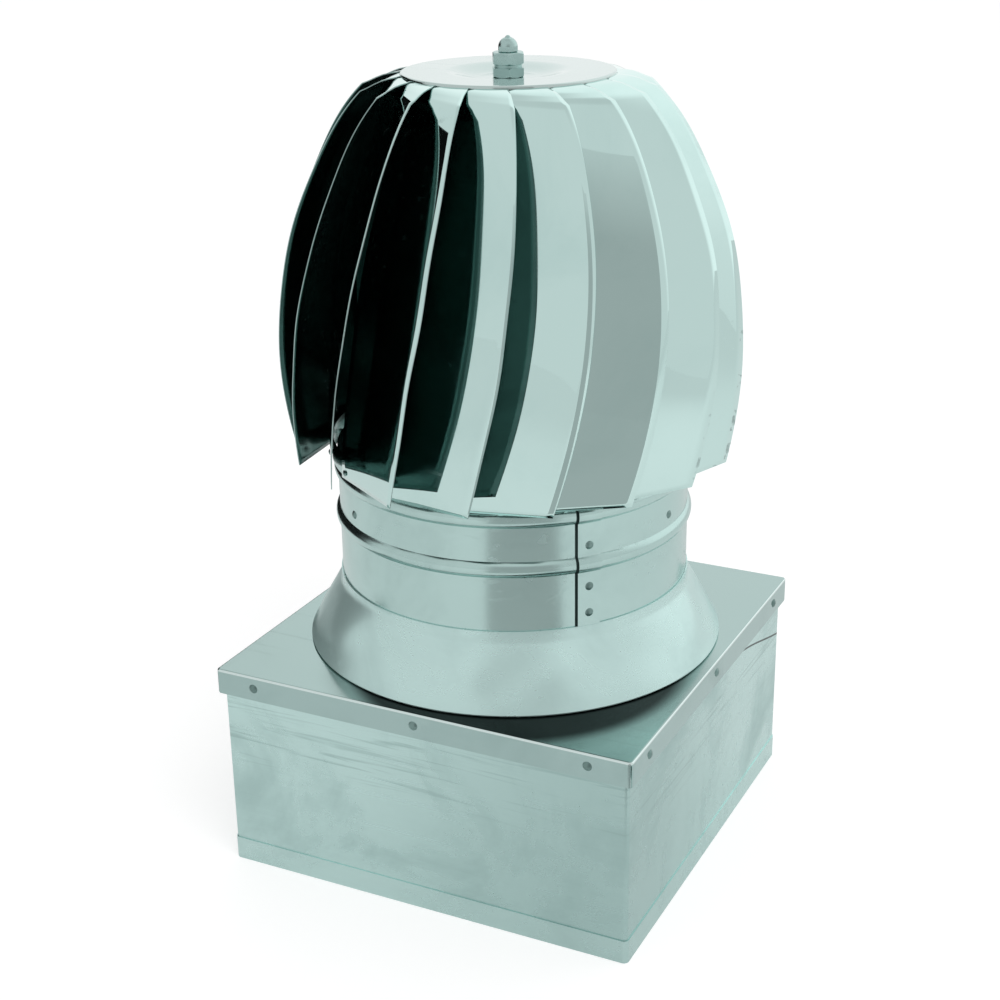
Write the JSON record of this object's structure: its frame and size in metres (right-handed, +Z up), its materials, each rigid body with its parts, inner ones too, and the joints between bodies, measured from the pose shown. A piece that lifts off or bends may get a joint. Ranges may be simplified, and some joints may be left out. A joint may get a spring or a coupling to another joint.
{
  "type": "roof turbine ventilator",
  "caption": "Rotating chimney cowl: an onion of twisted overlapping blades spins on bearings in a beaded round neck with a conical skirt, over a square sheet-metal base box.",
  "frame": {"origin": "centre of the base box's lower rim, on the spindle's axis", "axes": "+Z up along the spindle; X and Y square to the base box's walls"},
  "size_m": [0.2584, 0.2608, 0.4682],
  "materials": {
    "box_sheet": "satin, faint drawing streaks",
    "neck_sheet": "bright satin",
    "carrier_steel": "satin",
    "bearing_steel": "ground",
    "rivet_steel": "satin",
    "blade_polish": "mirror polished stainless sheet",
    "disc_polish": "mirror polished stainless sheet",
    "fastener_steel": "turned"
  },
  "bodies": {
    "base": {"base_box": "box_sheet", "box_lap_rivets": "rivet_steel", "lid": "box_sheet", "lid_rivets": "rivet_steel", "neck_tube": "neck_sheet", "seam_rivets": "rivet_steel", "skirt": "neck_sheet", "spider": "carrier_steel", "spider_rivets": "rivet_steel", "bearing_housing": "carrier_steel", "lower_bearing_outer": "bearing_steel", "upper_bearing_outer": "bearing_steel", "lower_bearing_balls": "bearing_steel", "upper_bearing_balls": "bearing_steel"},
    "rotor": {"spindle": "fastener_steel", "spindle_end_nut": "fastener_steel", "lower_bearing_inner": "bearing_steel", "upper_bearing_inner": "bearing_steel", "cap_disc": "disc_polish", "inner_disc": "disc_polish", "clamp_washer": "fastener_steel", "clamp_nut": "fastener_steel", "seat_nut": "fastener_steel", "spring_washer": "fastener_steel", "top_nut": "fastener_steel", "cap_nut": "fastener_steel", "blade_01": "blade_polish", "blade_02": "blade_polish", "blade_03": "blade_polish", "blade_04": "blade_polish", "blade_05": "blade_polish", "blade_06": "blade_polish", "blade_07": "blade_polish", "blade_08": "blade_polish", "blade_09": "blade_polish", "blade_10": "blade_polish", "blade_11": "blade_polish", "blade_12": "blade_polish", "blade_13": "blade_polish", "blade_14": "blade_polish", "blade_15": "blade_polish", "blade_16": "blade_polish", "blade_17": "blade_polish", "blade_18": "blade_polish", "rotor_ring": "blade_polish", "ring_rivets": "rivet_steel"}
  },
  "joints": [
    {"name": "cowl_spin", "type": "hinge", "parent": "base", "child": "rotor", "pos_m": [0, 0, 0.24], "axis": [0, 0, 1], "continuous": true}
  ]
}
